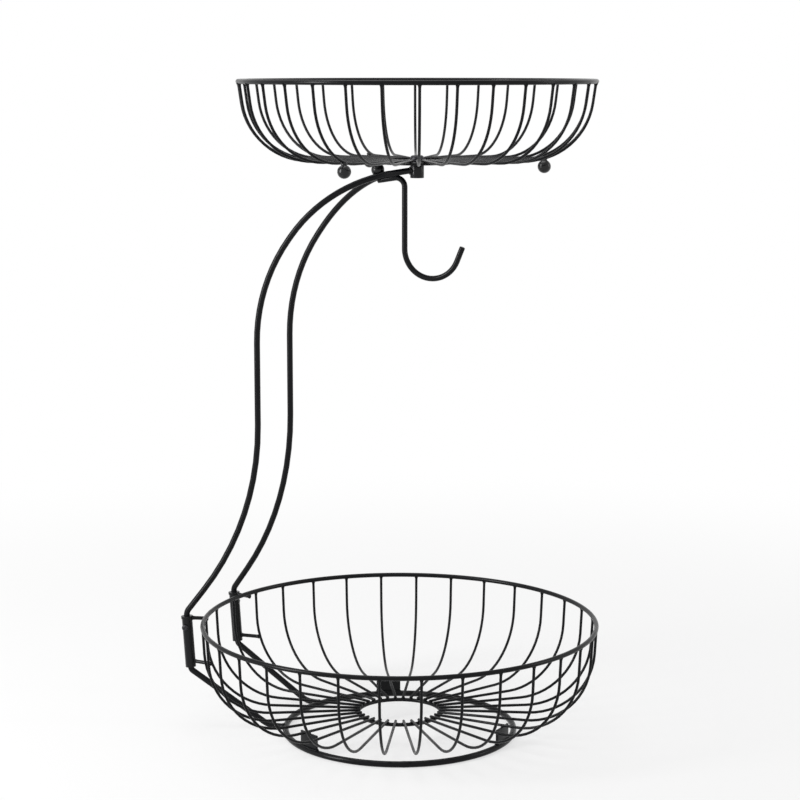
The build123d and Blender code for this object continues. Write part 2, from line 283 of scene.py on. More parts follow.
def seam(shape, centre, radius, angle, wire):
    """The slight swelling where the two ends of a ring are butt welded. It stays above the table."""
    reach = wire * seam_reach
    for vert in shape.verts:
        heading = math.atan2(vert.co.y - centre.y, vert.co.x - centre.x)
        off = (heading - angle + math.pi) % (2.0 * math.pi) - math.pi
        away = abs(off) * radius
        if away < 3.0 * reach:
            middle = centre + Vector((math.cos(heading), math.sin(heading), 0.0)) * radius
            growth = 1.0 + seam_swell * math.exp(-((away / reach) ** 2))
            vert.co = middle + (vert.co - middle) * growth
            vert.co.z = max(vert.co.z, 0.0)


def middle_of(node):
    """The middle of a node's box."""
    low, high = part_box(node)
    return (low + high) / 2


def thickness_of(node):
    """The height of a node's box, which is the wire of a ring that lies flat."""
    low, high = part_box(node)
    return high.z - low.z


base_ring_radius = 0.0908
base_seam = math.radians(205.0)
base_wire = thickness_of("base_ring")
base_middle = middle_of("base_ring")
ring_shape = bmesh.new()
hoop(ring_shape, base_middle, base_ring_radius, base_wire)
seam(ring_shape, base_middle, base_ring_radius, base_seam, base_wire)
finished(ring_shape, "base_ring_wire", wire_coat, "coated_wire", "stand", "base_ring")

# Lower basket. Its rim is one wire ring, and its ribs are wires bent to the form of a bowl, welded
# under the rim and on a small ring in the middle of the floor, where their cut ends lie.
rib_wire = 0.0022
rib_count = 32
rib_turn = 2.0 * math.pi / rib_count
rib_facets = 14
rib_flares = (1.08, 1.3, 1.15)
rib_tip_share = 0.8
knee_steps = 14
lower_rim_radius = 0.1553
lower_rim_seam = math.radians(101.0)
rim_wire = thickness_of("lower_rim")
rim_middle = middle_of("lower_rim")
rim_shape = bmesh.new()
hoop(rim_shape, rim_middle, lower_rim_radius, rim_wire)
seam(rim_shape, rim_middle, lower_rim_radius, lower_rim_seam, rim_wire)
finished(rim_shape, "lower_rim_wire", wire_coat, "coated_wire", "stand", "lower_rim")


def knee_centre_of(rim_radius, depth, lean, knee_radius):
    """Distance of the knee's centre from the axis of a basket."""
    wall_foot = rim_radius - depth * math.tan(lean)
    return wall_foot - knee_radius * math.tan((math.pi / 2 - lean) / 2)


def bowl_ribs(
    shape, axis, rim_radius, rim_height, floor_height, lean, knee_radius, inner_radius, first_angle
):
    """Ribs of a basket: along the floor, round the knee and up the wall to a weld under the rim."""
    seat_height = rim_height - rim_wire / 2
    knee_centre = knee_centre_of(rim_radius, seat_height - floor_height, lean, knee_radius)
    knee_end_height = floor_height + knee_radius * (1.0 - math.sin(lean))
    wall_way = Vector((math.sin(lean), 0.0, math.cos(lean)))
    wall_length = (seat_height - knee_end_height) / math.cos(lean)
    flare_length = rib_wire / 2
    floor_end = Vector((inner_radius, 0.0, floor_height))
    edges = wire_end(shape, floor_end, (1.0, 0.0, 0.0), rib_wire, rib_facets)
    tip = run(shape, edges, Vector((-rib_wire * end_rounding, 0.0, 0.0)))
    swell(shape, tip, rib_tip_share)
    bmesh.ops.holes_fill(shape, edges=tip, sides=0)
    edges = run(shape, edges, Vector((knee_centre - inner_radius, 0.0, 0.0)))
    knee_middle = (knee_centre, 0.0, floor_height + knee_radius)
    edges = bend(shape, edges, knee_middle, (0.0, -1.0, 0.0), math.pi / 2 - lean, knee_steps)
    edges = run(shape, edges, wall_way * (wall_length - 2.0 * flare_length))
    for share in rib_flares:
        edges = run(shape, edges, wall_way * flare_length)
        swell(shape, edges, share)
    bmesh.ops.holes_fill(shape, edges=edges, sides=0)
    everything = shape.verts[:] + shape.edges[:] + shape.faces[:]
    first_turn = Matrix.Rotation(first_angle, 3, "Z")
    bmesh.ops.rotate(shape, cent=(0.0, 0.0, 0.0), matrix=first_turn, verts=shape.verts)
    bmesh.ops.spin(
        shape,
        geom=everything,
        cent=(0.0, 0.0, 0.0),
        axis=(0.0, 0.0, 1.0),
        angle=2.0 * math.pi * (rib_count - 1) / rib_count,
        steps=rib_count - 1,
        use_duplicate=True,
    )
    bmesh.ops.translate(shape, vec=axis, verts=shape.verts)


def bead(shape, place, turn, size):
    """A small coated weld, longer, wider or flatter as its size says, turned about the upright."""
    scaled = Matrix.Diagonal((size[0], size[1], size[2], 1.0))
    where = Matrix.Translation(place) @ Matrix.Rotation(turn, 4, "Z") @ scaled
    bmesh.ops.create_uvsphere(shape, u_segments=10, v_segments=6, radius=1.0, matrix=where)


lower_floor_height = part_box("lower_ribs")[0].z + rib_wire / 2
lower_eye_radius = 0.033
lower_knee_radius = 0.052
lower_wall_lean = math.radians(3.0)
weld_coat = black_coat("weld_coat", roughness=0.32, shine=0.11, grain=700.0, unevenness=0.5)
eye_wire = thickness_of("lower_eye_ring")
eye_bead = (0.0015, 0.0017, 0.0007)
ribs_shape = bmesh.new()
bowl_ribs(
    ribs_shape,
    axis=(0.0, 0.0, 0.0),
    rim_radius=lower_rim_radius,
    rim_height=rim_middle.z,
    floor_height=lower_floor_height,
    lean=lower_wall_lean,
    knee_radius=lower_knee_radius,
    inner_radius=lower_eye_radius - eye_wire / 2,
    first_angle=math.pi / rib_count,
)
finished(ribs_shape, "lower_rib_wires", wire_coat, "coated_wire", "stand", "lower_ribs")

eye_shape = bmesh.new()
eye_middle = middle_of("lower_eye_ring")
hoop(eye_shape, eye_middle, lower_eye_radius, eye_wire, facets=20, steps=96)
finished(eye_shape, "floor_eye_wire", wire_coat, "coated_wire", "stand", "lower_eye_ring")

eye_beads = bmesh.new()
for number in range(rib_count):
    crossing = (number + 0.5) * rib_turn
    place = Vector((math.cos(crossing), math.sin(crossing), 0.0)) * lower_eye_radius
    place.z = lower_floor_height - rib_wire / 2
    bead(eye_beads, place, crossing, eye_bead)
finished(eye_beads, "floor_eye_welds", weld_coat, "coated_wire", "stand")

# Spacers. Three short strips of steel plate, rolled to the curve of the base ring and welded upright on
# top of it, that carry the floor of the lower basket. Each has a rib welded across the middle of its top.
spacer_plate = 0.0018
spacer_width = 0.020
spacer_middles = {"spacer_front": 23, "spacer_right": 2, "spacer_left": 13}
strip_edge = 0.0003
strip_steps = 10
edge_segments = 3
sharp_corner = math.radians(35.0)
strip_bead_count = 9
strip_bead_pitch = 0.112
strip_bead = (0.0010, 0.0016, 0.0009)
strip_bead_drop = 0.0002
strip_bead_offset = spacer_plate * 0.62
rib_bead = (0.0013, 0.0010, 0.0008)
rib_bead_lift = 0.0001
plate_coat = black_coat(
    "plate_coat",
    roughness=0.3,
    shine=0.12,
    grain=620.0,
    unevenness=0.3,
    colour=(0.0025, 0.0027, 0.0032),
    worn_colour=(0.007, 0.0074, 0.0086),
)


def eased(shape, offset):
    """Rounds over the sharp edges of a piece."""
    sharp = [edge for edge in shape.edges if edge.is_manifold and edge.calc_face_angle(0.0) > sharp_corner]
    bmesh.ops.bevel(
        shape,
        geom=sharp,
        offset=offset,
        offset_type="OFFSET",
        affect="EDGES",
        segments=edge_segments,
        profile=0.5,
        clamp_overlap=True,
        material=-1,
    )


for name, number in spacer_middles.items():
    low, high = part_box(name)
    strip = bmesh.new()
    section = bmesh.ops.create_grid(strip, x_segments=1, y_segments=1, size=0.5)["verts"]
    bmesh.ops.scale(strip, vec=(spacer_plate, high.z - low.z, 1.0), verts=section)
    upright = Matrix.Rotation(math.pi / 2, 3, "X")
    bmesh.ops.rotate(strip, cent=(0.0, 0.0, 0.0), matrix=upright, verts=section)
    bmesh.ops.translate(strip, vec=(base_ring_radius, 0.0, (low.z + high.z) / 2), verts=section)
    middle_turn = (number + 0.5) * rib_turn
    strip_turn = spacer_width / base_ring_radius
    first = Matrix.Rotation(middle_turn - strip_turn / 2, 3, "Z")
    bmesh.ops.rotate(strip, cent=(0.0, 0.0, 0.0), matrix=first, verts=section)
    everything = strip.verts[:] + strip.edges[:] + strip.faces[:]
    bmesh.ops.spin(
        strip,
        geom=everything,
        cent=(0.0, 0.0, 0.0),
        axis=(0.0, 0.0, 1.0),
        angle=strip_turn,
        steps=strip_steps,
    )
    bmesh.ops.recalc_face_normals(strip, faces=strip.faces)
    eased(strip, strip_edge)
    finished(strip, name + "_strip", plate_coat, "coated_plate", "stand", name)
    welds = bmesh.new()
    for step in range(strip_bead_count):
        along = middle_turn + (step - (strip_bead_count - 1) / 2) * strip_turn * strip_bead_pitch
        spoke = Vector((math.cos(along), math.sin(along), 0.0))
        for side in (-1.0, 1.0):
            place = spoke * (base_ring_radius + side * strip_bead_offset)
            place.z = low.z - strip_bead_drop
            bead(welds, place, along, strip_bead)
    spoke = Vector((math.cos(middle_turn), math.sin(middle_turn), 0.0)) * base_ring_radius
    for side in (-1.0, 1.0):
        place = spoke + Vector((-math.sin(middle_turn), math.cos(middle_turn), 0.0)) * side * rib_wire / 2
        place.z = high.z + rib_bead_lift
        bead(welds, place, middle_turn, rib_bead)
    finished(welds, name + "_welds", weld_coat, "coated_plate", "stand")

# Sockets. Two lengths of steel tube beside the lower rim, leaning out as they rise, with a thicker lip turned
# on the upper end. They take the posts from above and the legs from below.
socket_diameter = 0.0084
socket_bore = 0.0048
socket_lip = 0.0005
socket_lip_length = 0.0022
socket_edge = 0.0002
mouth_chamfer = 0.0004
mouth_chamfer_length = 0.0006
fitting_coat = black_coat("fitting_coat", roughness=0.22, shine=0.2, grain=520.0, unevenness=0.18)


def turned(shape, outline, centre, steps=48, loop=False):
    """Turns an outline of (radius, height) points round an upright axis."""
    verts = [shape.verts.new(Vector(centre) + Vector((radius, 0.0, height))) for radius, height in outline]
    ends = zip(verts, verts[1:] + verts[:1]) if loop else zip(verts, verts[1:])
    edges = [shape.edges.new(pair) for pair in ends]
    bmesh.ops.spin(
        shape,
        geom=verts + edges,
        cent=centre,
        axis=(0.0, 0.0, 1.0),
        angle=2.0 * math.pi,
        steps=steps,
        use_merge=True,
    )
    bmesh.ops.remove_doubles(shape, verts=shape.verts, dist=1e-7)


def both_sides(maker):
    """Calls a maker for the right side of the stand and for its mirror image on the left."""
    for side, word in ((1.0, "right"), (-1.0, "left")):
        maker(side, word)


socket_gap = 0.0114
socket_drop = 0.0014
socket_length = 0.042
socket_half_spacing = 0.042
socket_lean = math.radians(4.0)
socket_radius = lower_rim_radius + rim_wire / 2 + socket_gap + socket_diameter / 2
socket_back = math.sqrt(socket_radius**2 - socket_half_spacing**2)
socket_top = rim_middle.z - socket_drop
socket_bottom = socket_top - socket_length


def lean_out(shape):
    """Tilts what was made upright at a socket's place, about the top of the sockets."""
    tilt = Matrix.Rotation(-socket_lean, 3, "X")
    bmesh.ops.rotate(shape, cent=(0.0, socket_back, socket_top), matrix=tilt, verts=shape.verts)


def in_socket(side, level):
    """A point on the axis of a socket, at a level measured along it."""
    along = level - socket_top
    back = socket_back + along * math.sin(socket_lean)
    return Vector((side * socket_half_spacing, back, socket_top + along * math.cos(socket_lean)))


def make_socket(side, word):
    outside = socket_diameter / 2
    lip = outside + socket_lip
    tube = bmesh.new()
    outline = [
        (socket_bore / 2, 0.0),
        (outside, 0.0),
        (outside, socket_length - socket_lip_length),
        (lip, socket_length - socket_lip_length),
        (lip, socket_length),
        (socket_bore / 2 + mouth_chamfer, socket_length),
        (socket_bore / 2, socket_length - mouth_chamfer_length),
    ]
    turned(tube, outline, (side * socket_half_spacing, socket_back, socket_bottom), loop=True)
    bmesh.ops.recalc_face_normals(tube, faces=tube.faces)
    eased(tube, socket_edge)
    lean_out(tube)
    finished(tube, "socket_tube_" + word, fitting_coat, "coated_fittings", "stand", "socket_" + word)


both_sides(make_socket)

# Set screws. Small pan heads with a slot, of blackened steel, turned in from the outer sides of the sockets
# until they press on the posts.
screw_thread = 0.003
screw_head = 0.0054
screw_head_height = 0.0018
screw_drop = 0.009
screw_turn = math.radians(35.0)
slot_depth = 0.0008
slot_half_width = 0.0004
slot_half_length = 0.0030
post_wire = 0.0048


def blackened(name, colour, edge_colour, roughness, grain):
    """Blackened steel: an oily tone and a gloss that vary, over a fine grain."""
    material = bpy.data.materials.new(name)
    material.use_nodes = True
    nodes = material.node_tree.nodes
    links = material.node_tree.links
    surface = nodes["Principled BSDF"]
    place = nodes.new("ShaderNodeTexCoord")
    oil = nodes.new("ShaderNodeTexNoise")
    oil.inputs["Scale"].default_value = 420.0
    oil.inputs["Detail"].default_value = 4.0
    tone = nodes.new("ShaderNodeMix")
    tone.data_type = "RGBA"
    tone.inputs["A"].default_value = (*colour, 1.0)
    tone.inputs["B"].default_value = (*edge_colour, 1.0)
    gloss = nodes.new("ShaderNodeMapRange")
    gloss.inputs["To Min"].default_value = roughness - 0.08
    gloss.inputs["To Max"].default_value = roughness + 0.12
    marks = nodes.new("ShaderNodeTexNoise")
    marks.inputs["Scale"].default_value = grain
    marks.inputs["Detail"].default_value = 3.0
    bump = nodes.new("ShaderNodeBump")
    bump.inputs["Strength"].default_value = 0.25
    bump.inputs["Distance"].default_value = 0.0001
    links.new(place.outputs["Object"], oil.inputs["Vector"])
    links.new(place.outputs["Object"], marks.inputs["Vector"])
    links.new(oil.outputs["Fac"], tone.inputs["Factor"])
    links.new(oil.outputs["Fac"], gloss.inputs["Value"])
    links.new(tone.outputs["Result"], surface.inputs["Base Color"])
    links.new(gloss.outputs["Result"], surface.inputs["Roughness"])
    links.new(marks.outputs["Fac"], bump.inputs["Height"])
    links.new(bump.outputs["Normal"], surface.inputs["Normal"])
    surface.inputs["Metallic"].default_value = 0.85
    return material


blackened_steel = blackened(
    "blackened_steel",
    colour=(0.012, 0.012, 0.014),
    edge_colour=(0.05, 0.05, 0.055),
    roughness=0.36,
    grain=2600.0,
)


def pan_head(shape, width, height, seat):
    """The domed head of a screw on the plane at its seat: a low wall, a quarter round and a cambered top."""
    half = width / 2
    wall_share = 0.12
    round_width_share = 0.38
    round_height_share = 0.80
    round_steps = 8
    outline = [(0.0, seat), (half * 0.94, seat), (half, seat + height * wall_share)]
    for step in range(1, round_steps + 1):
        lean = step / round_steps * math.pi / 2
        reach = half * (1.0 - round_width_share + round_width_share * math.cos(lean))
        outline.append((reach, seat + height * (wall_share + round_height_share * math.sin(lean))))
    outline += [(half * 0.32, seat + height), (0.0, seat + height)]
    turned(shape, outline, (0.0, 0.0, 0.0), steps=32)


def recess(shape, top, depth, *cuts):
    """Sinks slots, each given by its half width and half length, into the top of a screw head."""
    floor_width_share = 0.9
    limits = sorted({limit for cut in cuts for limit in cut})
    for limit in limits:
        for sign in (-1.0, 1.0):
            for axis in ((1.0, 0.0, 0.0), (0.0, 1.0, 0.0)):
                bmesh.ops.bisect_plane(
                    shape,
                    geom=shape.verts[:] + shape.edges[:] + shape.faces[:],
                    plane_co=Vector(axis) * limit * sign,
                    plane_no=axis,
                    dist=1e-8,
                )
    floor_faces = []
    for face in shape.faces:
        spot = face.calc_center_median()
        if face.normal.z > 0.3 and spot.z > top * 0.5:
            if any(abs(spot.x) < across and abs(spot.y) < along for across, along in cuts):
                floor_faces.append(face)
    sunk = bmesh.ops.extrude_face_region(shape, geom=floor_faces)["geom"]
    bmesh.ops.delete(shape, geom=[face for face in floor_faces if face.is_valid], context="FACES")
    verts = [part for part in sunk if isinstance(part, bmesh.types.BMVert)]
    for vert in verts:
        vert.co.z = top - depth
    bmesh.ops.scale(shape, vec=(floor_width_share, floor_width_share, 1.0), verts=verts)


def make_set_screw(side, word):
    head = bmesh.new()
    pan_head(head, screw_head, screw_head_height, 0.0)
    bmesh.ops.recalc_face_normals(head, faces=head.faces)
    recess(head, screw_head_height, slot_depth, (slot_half_width, slot_half_length))
    shank_length = socket_diameter / 2 - post_wire / 2
    bmesh.ops.create_cone(
        head,
        cap_ends=True,
        segments=24,
        radius1=screw_thread / 2,
        radius2=screw_thread / 2,
        depth=shank_length,
        matrix=Matrix.Translation((0.0, 0.0, -shank_length / 2)),
    )
    spin_turn = Matrix.Rotation(screw_turn, 3, "Z")
    bmesh.ops.rotate(head, cent=(0.0, 0.0, 0.0), matrix=spin_turn, verts=head.verts)
    outward = Matrix.Rotation(side * math.pi / 2, 3, "Y")
    bmesh.ops.rotate(head, cent=(0.0, 0.0, 0.0), matrix=outward, verts=head.verts)
    seat = (side * (socket_half_spacing + socket_diameter / 2), socket_back, socket_top - screw_drop)
    bmesh.ops.translate(head, vec=seat, verts=head.verts)
    lean_out(head)
    finished(head, "set_screw_head_" + word, blackened_steel, "dark_fasteners", "stand", "set_screw_" + word)


both_sides(make_set_screw)

# Legs. Two wires of the same stock as the base ring, pushed up into the sockets, bent forward under the
# basket and laid flat to meet the ring, where each is welded end on.
leg_bend_drop = 0.0022
leg_bend_radius = 0.004
leg_landing = 0.014
leg_landing_radius = 0.020
leg_ring_angle = math.radians(22.0)
leg_reach_in = 0.012
leg_flare = [(1.03, 0.06), (1.06, 0.08), (1.06, 0.08), (1.0, 0.2)]
leg_end_gap = base_wire * 0.75
bend_turn = math.radians(4.0)


def bent(shape, edges, corners, radii):
    """Takes a wire on from its open circle, straight from corner to corner with a round bend at each."""
    here = Vector(corners[0])
    for corner, after, radius in zip(corners[1:], corners[2:], radii):
        way_in = (Vector(corner) - here).normalized()
        way_out = (Vector(after) - Vector(corner)).normalized()
        turn = way_in.angle(way_out)
        tangent = radius * math.tan(turn / 2)
        bend_start = Vector(corner) - way_in * tangent
        edges = run(shape, edges, bend_start - here)
        inward = (way_out - way_in * way_out.dot(way_in)).normalized()
        steps = max(2, math.ceil(turn / bend_turn))
        edges = bend(shape, edges, bend_start + inward * radius, way_in.cross(way_out), turn, steps)
        here = Vector(corner) + way_out * tangent
    return run(shape, edges, Vector(corners[-1]) - here)


def flare(shape, edges, along, wire, swells):
    """Spreads the end of a wire into its coated weld, by shares of width and length, and closes it."""
    for share, rise in swells:
        edges = run(shape, edges, Vector(along).normalized() * wire * rise)
        swell(shape, edges, share)
    bmesh.ops.holes_fill(shape, edges=edges, sides=0)


def make_leg(side, word):
    start = in_socket(side, socket_bottom + leg_reach_in)
    turn = in_socket(side, socket_bottom - leg_bend_drop)
    ring_turn = math.pi / 2 - side * leg_ring_angle
    end = Vector((math.cos(ring_turn), math.sin(ring_turn), 0.0)) * base_ring_radius
    way = Vector((end.x - turn.x, end.y - turn.y, 0.0)).normalized()
    end.z = base_middle.z
    corners = [start, turn, end - way * leg_landing, end - way * leg_end_gap]
    wire = bmesh.new()
    edges = wire_end(wire, start, turn - start, base_wire)
    bmesh.ops.holes_fill(wire, edges=edges, sides=0)
    edges = bent(wire, edges, corners, [leg_bend_radius, leg_landing_radius])
    flare(wire, edges, way, base_wire, leg_flare)
    for vert in wire.verts:
        vert.co.z = max(vert.co.z, 0.0)
    finished(wire, "leg_wire_" + word, wire_coat, "coated_wire", "stand", "leg_" + word)


both_sides(make_leg)

# Links. Short wires welded between each socket and the basket: an upper one under the rim, in line with the
# middle of the basket, and a lower one on the nearest rib.
link_wire = 0.003
link_bite = 0.0003
lower_link_rise = 0.005
lower_link_rib_number = 6
link_facets = 16
link_flare = [(1.02, 0.2), (1.06, 0.2), (1.1, 0.2), (1.08, 0.15)]
link_flare_length = link_wire * 0.75
lower_depth = rim_middle.z - rim_wire / 2 - lower_floor_height
lower_knee_centre = knee_centre_of(lower_rim_radius, lower_depth, lower_wall_lean, lower_knee_radius)


def welded_link(name, start, end, node):
    """A short wire between two pieces, spread at both ends where it is welded."""
    way = (end - start).normalized()
    wire = bmesh.new()
    middle = (start + end) / 2
    half = (end - start).length / 2
    waist = wire_end(wire, middle, way, link_wire, link_facets)
    for sign in (-1.0, 1.0):
        edges = run(wire, waist, way * sign * (half - link_flare_length))
        flare(wire, edges, way * sign, link_wire, link_flare)
    finished(wire, name, wire_coat, "coated_fittings", "stand", node)


def make_links(side, word):
    out_from = Vector((side * socket_half_spacing, socket_back, 0.0))
    spoke = out_from.normalized()
    level = Vector((0.0, 0.0, rim_middle.z - rim_wire / 2 - link_wire / 2 + link_bite))
    start = out_from - spoke * (socket_diameter / 2 + socket_lip) + level
    end = spoke * lower_rim_radius + level
    welded_link("upper_link_wire_" + word, start, end, "upper_link_" + word)
    rise = socket_bottom + lower_link_rise
    rib_angle = (lower_link_rib_number + 0.5) * rib_turn
    knee_drop = lower_floor_height + lower_knee_radius - rise
    rib_reach = lower_knee_centre + math.sqrt(lower_knee_radius**2 - knee_drop**2)
    rib_spot = Vector((side * math.cos(rib_angle), math.sin(rib_angle), 0.0)) * rib_reach
    rib_spot.z = rise
    from_socket = in_socket(side, rise)
    way = (rib_spot - from_socket).normalized()
    start = from_socket + way * socket_diameter / 2
    end = rib_spot - way * rib_wire / 2
    welded_link("lower_link_wire_" + word, start, end, "lower_link_" + word)


both_sides(make_links)

# Posts. Two wires set in the sockets. Each leans in over the edge of the basket, stands upright, then goes
# over forward in a swan neck and comes together with the other one, side by side, at the collar.
post_stop = 0.012
post_bend_rise = 0.0031
post_lean_in = 0.0594
post_half_spacing = 0.030
post_lean_rise = 0.0816
swan_neck_drop = 0.0952
shoulder_half_spacing = 0.024
shoulder_reach = 0.0698
shoulder_drop = 0.0226
pair_length = 0.0225
pair_slope = math.radians(9.0)
post_bend_radius = 0.008
post_lean_radius = 0.220
swan_neck_radius = 0.138
shoulder_radius = 0.110
pair_bend_radius = 0.020
post_radii = [post_bend_radius, post_lean_radius, swan_neck_radius, shoulder_radius, pair_bend_radius]
arm_end_drop = 0.0044
arm_stop_behind_collar = 0.0034
cope_share = 0.94
collar_low, collar_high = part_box("collar")
collar_radius = (collar_high.x - collar_low.x) / 2
collar_forward = -(collar_low.y + collar_high.y) / 2
collar_top = collar_high.z
arm_end_height = collar_top - arm_end_drop
pair_back = pair_length - collar_forward + collar_radius
pair_rise = math.tan(pair_slope)


def make_post(side, word):
    """A post, whose upper end is coped to the round of the collar."""
    upright_back = socket_back - post_lean_in
    arm_stop = arm_stop_behind_collar - collar_forward
    corners = [
        in_socket(side, socket_bottom + post_stop),
        in_socket(side, socket_top + post_bend_rise),
        (side * post_half_spacing, upright_back, socket_top + post_lean_rise),
        (side * post_half_spacing, upright_back, collar_top - swan_neck_drop),
        (side * shoulder_half_spacing, shoulder_reach - collar_forward, collar_top - shoulder_drop),
        (side * post_wire / 2, pair_back, arm_end_height - (pair_back + collar_forward) * pair_rise),
        (side * post_wire / 2, arm_stop, arm_end_height - (arm_stop + collar_forward) * pair_rise),
    ]
    wire = bmesh.new()
    edges = wire_end(wire, corners[0], corners[1] - corners[0], post_wire)
    bmesh.ops.holes_fill(wire, edges=edges, sides=0)
    edges = bent(wire, edges, corners, post_radii)
    for vert in {vert for edge in edges for vert in edge.verts}:
        vert.co.y = math.sqrt(collar_radius**2 - vert.co.x**2) * cope_share - collar_forward
    bmesh.ops.holes_fill(wire, edges=edges, sides=0)
    finished(wire, "post_wire_" + word, wire_coat, "coated_wire", "stand", "post_" + word)


both_sides(make_post)

# Rest ball. A steel ball of the same kind as the basket's feet, welded in the fork of the two arms, close
# under the floor of the upper basket. It is glossier than the wires.
rest_ball = 0.0102
rest_bead = (0.0008, 0.0010, 0.0007)
rest_bead_swing = math.radians(13.0)
rest_bead_across = 0.66
rest_bead_below = 0.75
ball_coat = black_coat(
    "ball_coat",
    roughness=0.19,
    shine=0.32,
    grain=300.0,
    unevenness=0.06,
    colour=(0.0015, 0.0017, 0.0022),
    worn_colour=(0.004, 0.0043, 0.005),
)


def ball_outline(diameter, steps, stop):
    """The outline of a ball from its lowest point up to an angle."""
    leans = [step / steps * stop for step in range(steps + 1)]
    return [(diameter / 2 * math.sin(lean), -diameter / 2 * math.cos(lean)) for lean in leans]


rest_middle = middle_of("rest_ball")
rest_shape = bmesh.new()
turned(rest_shape, ball_outline(rest_ball, 24, math.pi), rest_middle, steps=40)
finished(rest_shape, "rest_ball_steel", ball_coat, "gloss_ball", "stand", "rest_ball")
rest_welds = bmesh.new()
for side in (-1.0, 1.0):
    for step in range(-2, 3):
        swing = rest_bead_swing * step
        back = rest_bead_below * math.sin(swing)
        below = Vector((side * rest_bead_across, back, -rest_bead_below * math.cos(swing)))
        bead(rest_welds, rest_middle + below * rest_ball / 2, 0.0, rest_bead)
finished(rest_welds, "rest_ball_welds", weld_coat, "gloss_ball", "stand")

# Collar. A turned steel sleeve with a threaded bore, welded on the ends of the two arms. The upper basket
# stands on its top face and is bolted down into it.
collar_height = collar_high.z - collar_low.z
collar_edge = 0.00035
bolt_thread = 0.006
thread_clearance = 0.00008
collar_bore_radius = bolt_thread / 2 + thread_clearance
collar_shape = bmesh.new()
collar_outline = [
    (collar_bore_radius, 0.0),
    (collar_radius, 0.0),
    (collar_radius, collar_height),
    (collar_bore_radius, collar_height),
]
collar_foot = (0.0, -collar_forward, collar_low.z)
turned(collar_shape, collar_outline, collar_foot, steps=64, loop=True)
bmesh.ops.recalc_face_normals(collar_shape, faces=collar_shape.faces)
eased(collar_shape, collar_edge)
finished(collar_shape, "collar_sleeve", fitting_coat, "coated_fittings", "stand", "collar")
over_bead = (0.0011, 0.0009, 0.0009)
over_bead_steps = 7
over_bead_swing = math.pi * 0.62
over_bead_reach = post_wire + 0.0002
under_bead = (0.0011, 0.0009, 0.0008)
under_bead_start = 0.0012
under_bead_pitch = 0.0013
arm_level = arm_end_height - collar_radius * pair_rise
collar_welds = bmesh.new()


def collar_bead(across, level, size):
    """A weld bead on the back of the collar."""
    depth = math.sqrt(collar_radius**2 - across**2)
    bead(collar_welds, Vector((across, depth - collar_forward, level)), 0.0, size)


for step in range(-over_bead_steps, over_bead_steps + 1):
    around = step / over_bead_steps * over_bead_swing
    level = arm_level + math.cos(around) * post_wire * 0.52
    collar_bead(math.sin(around) * over_bead_reach, level, over_bead)
for side in (-1.0, 1.0):
    for step in range(3):
        level = arm_level - post_wire * (0.5 - 0.06 * step)
        collar_bead(side * (under_bead_start + under_bead_pitch * step), level, under_bead)
finished(collar_welds, "collar_welds", weld_coat, "coated_fittings", "stand")

# Hanging hook. One wire whose upper leg lies in the groove under the two arms and is welded there; it turns
# down behind the collar, drops, and curls forward and up to a short cut tip.
hook_wire = 0.0044
hook_leg_length = 0.022
hook_behind_collar = 0.0102
hook_bend_radius = 0.007
hook_mouth_height = 0.385
hook_curl_radius = 0.0223
hook_curl_turn = math.radians(157.5)
hook_tip_length = 0.012
hook_bite = 0.0003
hook_facets = 20
hook_curl_steps = 40
hook_bead = (0.0009, 0.0012, 0.0008)
hook_bead_pitch = 0.0011
hook_bead_across = hook_wire * 0.46
hook_bead_above = hook_wire * 0.36
hook_end_weld = 0.003
hook_corner_weld = 0.007
hook_back = hook_behind_collar - collar_forward
nest = math.sqrt(((post_wire + hook_wire) / 2) ** 2 - (post_wire / 2) ** 2)
arm_height_at_hook = arm_end_height - hook_behind_collar * pair_rise
hook_corner = Vector((0.0, hook_back, arm_height_at_hook - (nest - hook_bite) / math.cos(pair_slope)))
leg_way = Vector((0.0, -math.cos(pair_slope), math.sin(pair_slope)))
hook_start = hook_corner - leg_way * hook_leg_length
hook_shape = bmesh.new()
edges = wire_end(hook_shape, hook_start, leg_way, hook_wire, hook_facets)
cut_end(hook_shape, edges, -leg_way, hook_wire)
hook_drop = Vector((0.0, hook_back, hook_mouth_height))
edges = bent(hook_shape, edges, [hook_start, hook_corner, hook_drop], [hook_bend_radius])
curl_middle = (0.0, hook_back - hook_curl_radius, hook_mouth_height)
edges = bend(hook_shape, edges, curl_middle, (-1.0, 0.0, 0.0), hook_curl_turn, hook_curl_steps)
tip_way = Vector((0.0, -math.sin(hook_curl_turn), -math.cos(hook_curl_turn)))
edges = run(hook_shape, edges, tip_way * (hook_tip_length - hook_wire * end_rounding))
cut_end(hook_shape, edges, tip_way, hook_wire)
finished(hook_shape, "hook_wire_form", wire_coat, "coated_wire", "stand", "hanging_hook")
hook_welds = bmesh.new()
for side in (-1.0, 1.0):
    beside = Vector((side * hook_bead_across, 0.0, hook_bead_above))
    for step in range(5):
        along = hook_start + leg_way * (hook_end_weld + hook_bead_pitch * step)
        bead(hook_welds, along + beside, 0.0, hook_bead)
        along = hook_corner - leg_way * (hook_corner_weld + hook_bead_pitch * step)
        bead(hook_welds, along + beside, 0.0, hook_bead)
finished(hook_welds, "hook_welds", weld_coat, "coated_wire", "stand")

